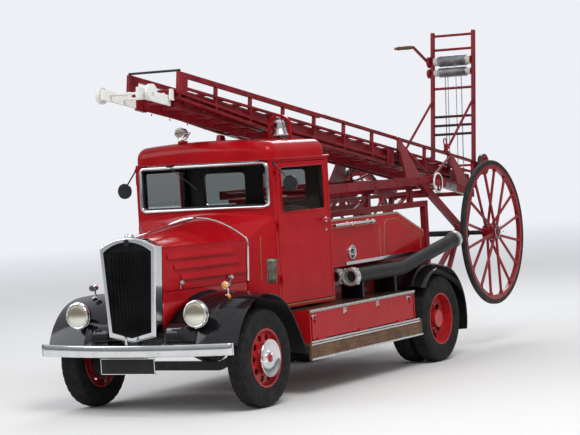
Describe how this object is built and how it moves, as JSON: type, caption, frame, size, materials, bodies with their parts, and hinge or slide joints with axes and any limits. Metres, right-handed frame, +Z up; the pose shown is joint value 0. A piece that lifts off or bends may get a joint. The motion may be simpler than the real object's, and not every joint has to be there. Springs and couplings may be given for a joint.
{
  "type": "fire engine with wheeled escape ladder",
  "caption": "Vintage fire engine with an enclosed cab, open hose bed, side lockers and a wheeled escape ladder that tips and extends over the roof",
  "frame": {"origin": "on the ground under the vehicle, half way along its overall length with the levers, on its centre line", "axes": "+X forward along the vehicle, +Y to its left, +Z up"},
  "size_m": [7.0249, 2.004, 3.4527],
  "materials": {
    "body_red": "gloss",
    "frame_black": "satin",
    "wing_black": "gloss",
    "chrome_bright": "polished",
    "engine_iron": "rough",
    "axle_black": "satin",
    "spring_steel": "satin",
    "core_dark": "matte",
    "wheel_red": "gloss",
    "tyre_black": "matte",
    "solid_tyre": "matte",
    "hose_black": "matte",
    "pump_metal": "satin",
    "tread_wood": "satin",
    "seat_leather": "satin",
    "glass_clear": "clear",
    "ladder_wood": "satin",
    "lever_red": "satin",
    "steer_black": "gloss",
    "floor_wood": "matte",
    "winch_red": "satin"
  },
  "bodies": {
    "chassis": {"chassis_frame": "frame_black", "engine_block": "engine_iron", "front_axle": "axle_black", "rear_axle": "axle_black", "road_springs": "spring_steel", "bumper": "chrome_bright", "radiator_shell": "chrome_bright", "radiator_core": "core_dark", "starting_handle": "frame_black", "front_wings": "wing_black", "rear_wings": "wing_black", "bonnet_top": "body_red", "cab_shell": "body_red", "cab_roof": "body_red", "cab_floor": "floor_wood", "seat": "seat_leather", "steering_gear": "steer_black", "cab_glass": "glass_clear", "body_tub": "body_red", "body_rails": "chrome_bright", "lockers": "body_red", "steps": "tread_wood", "lamps": "chrome_bright", "suction_hoses": "hose_black", "hose_couplings": "chrome_bright", "pump": "pump_metal", "roof_gear": "body_red", "searchlight": "chrome_bright", "bell": "chrome_bright", "mirrors": "chrome_bright", "escape_gantry": "body_red"},
    "bonnet_side_left": {"bonnet_side_left": "body_red"},
    "bonnet_side_right": {"bonnet_side_right": "body_red"},
    "door_left": {"door_left": "body_red"},
    "door_right": {"door_right": "body_red"},
    "locker_flap_left": {"locker_flap_left": "body_red"},
    "locker_flap_right": {"locker_flap_right": "body_red"},
    "knuckle_left": {"knuckle_left": "axle_black"},
    "knuckle_right": {"knuckle_right": "axle_black"},
    "front_wheel_left": {"front_wheel_left": "wheel_red", "front_tyre_left": "tyre_black"},
    "front_wheel_right": {"front_wheel_right": "wheel_red", "front_tyre_right": "tyre_black"},
    "rear_wheels_left": {"rear_wheels_left": "wheel_red", "rear_tyres_left": "tyre_black"},
    "rear_wheels_right": {"rear_wheels_right": "wheel_red", "rear_tyres_right": "tyre_black"},
    "escape": {"escape_carriage": "ladder_wood", "escape_axle": "axle_black", "ladder_main": "ladder_wood", "lever_frame": "lever_red", "winch": "winch_red"},
    "escape_wheel_left": {"escape_wheel_left": "wheel_red", "escape_tyre_left": "solid_tyre"},
    "escape_wheel_right": {"escape_wheel_right": "wheel_red", "escape_tyre_right": "solid_tyre"},
    "heel_wheels": {"heel_wheels": "wheel_red"},
    "ladder_middle": {"ladder_middle": "ladder_wood"},
    "ladder_top": {"ladder_top": "ladder_wood"},
    "head_wheels": {"head_wheels": "wheel_red"}
  },
  "joints": [
    {"name": "steer_left", "type": "hinge", "parent": "chassis", "child": "knuckle_left", "pos_m": [2.711, 0.7, 0.432], "axis": [0, 0, 1], "range_deg": [-32, 32]},
    {"name": "front_wheel_spin_left", "type": "hinge", "parent": "knuckle_left", "child": "front_wheel_left", "pos_m": [2.711, 0.872, 0.432], "axis": [0, 1, 0], "continuous": true},
    {"name": "rear_wheels_spin_left", "type": "hinge", "parent": "chassis", "child": "rear_wheels_left", "pos_m": [-0.819, 0.757, 0.432], "axis": [0, 1, 0], "continuous": true},
    {"name": "door_swing_left", "type": "hinge", "parent": "chassis", "child": "door_left", "pos_m": [2.01604, 0.75344, 1.48], "axis": [0, 0, -1], "range_deg": [0, 70]},
    {"name": "bonnet_side_lift_left", "type": "hinge", "parent": "chassis", "child": "bonnet_side_left", "pos_m": [2.751, 0.4095, 1.452], "axis": [0.971, -0.2389, 0], "range_deg": [0, 100]},
    {"name": "locker_flap_drop_left", "type": "hinge", "parent": "chassis", "child": "locker_flap_left", "pos_m": [0.914, 0.995, 0.503], "axis": [-1, 0, 0], "range_deg": [0, 90]},
    {"name": "escape_wheel_spin_left", "type": "hinge", "parent": "escape", "child": "escape_wheel_left", "pos_m": [-2.479, 0.812, 1.208], "axis": [0, 1, 0], "continuous": true},
    {"name": "steer_right", "type": "hinge", "parent": "chassis", "child": "knuckle_right", "pos_m": [2.711, -0.7, 0.432], "axis": [0, 0, 1], "range_deg": [-32, 32]},
    {"name": "front_wheel_spin_right", "type": "hinge", "parent": "knuckle_right", "child": "front_wheel_right", "pos_m": [2.711, -0.872, 0.432], "axis": [0, 1, 0], "continuous": true},
    {"name": "rear_wheels_spin_right", "type": "hinge", "parent": "chassis", "child": "rear_wheels_right", "pos_m": [-0.819, -0.757, 0.432], "axis": [0, 1, 0], "continuous": true},
    {"name": "door_swing_right", "type": "hinge", "parent": "chassis", "child": "door_right", "pos_m": [2.01604, -0.75344, 1.48], "axis": [0, 0, 1], "range_deg": [0, 70]},
    {"name": "bonnet_side_lift_right", "type": "hinge", "parent": "chassis", "child": "bonnet_side_right", "pos_m": [2.751, -0.4095, 1.452], "axis": [-0.971, -0.2389, 0], "range_deg": [0, 100]},
    {"name": "locker_flap_drop_right", "type": "hinge", "parent": "chassis", "child": "locker_flap_right", "pos_m": [0.914, -0.995, 0.503], "axis": [1, 0, 0], "range_deg": [0, 90]},
    {"name": "escape_wheel_spin_right", "type": "hinge", "parent": "escape", "child": "escape_wheel_right", "pos_m": [-2.479, -0.812, 1.208], "axis": [0, 1, 0], "continuous": true},
    {"name": "escape_tip", "type": "hinge", "parent": "chassis", "child": "escape", "pos_m": [-2.479, 0, 1.208], "axis": [0, -1, 0], "range_deg": [0, 70]},
    {"name": "heel_wheels_spin", "type": "hinge", "parent": "escape", "child": "heel_wheels", "pos_m": [-3.389, 0, 1.93], "axis": [0, 1, 0], "continuous": true},
    {"name": "ladder_middle_slide", "type": "slide", "parent": "escape", "child": "ladder_middle", "axis": [0.9867, 0, 0.1628], "range_m": [0, 4.2]},
    {"name": "ladder_top_slide", "type": "slide", "parent": "ladder_middle", "child": "ladder_top", "axis": [0.9867, 0, 0.1628], "range_m": [0, 4.2]},
    {"name": "head_wheels_spin", "type": "hinge", "parent": "ladder_top", "child": "head_wheels", "pos_m": [3.23554, 0, 2.79731], "axis": [0, 1, 0], "continuous": true}
  ],
  "couplings": [
    {"joint": "steer_right", "follows": "steer_left", "ratio": 1},
    {"joint": "ladder_top_slide", "follows": "ladder_middle_slide", "ratio": 1}
  ]
}
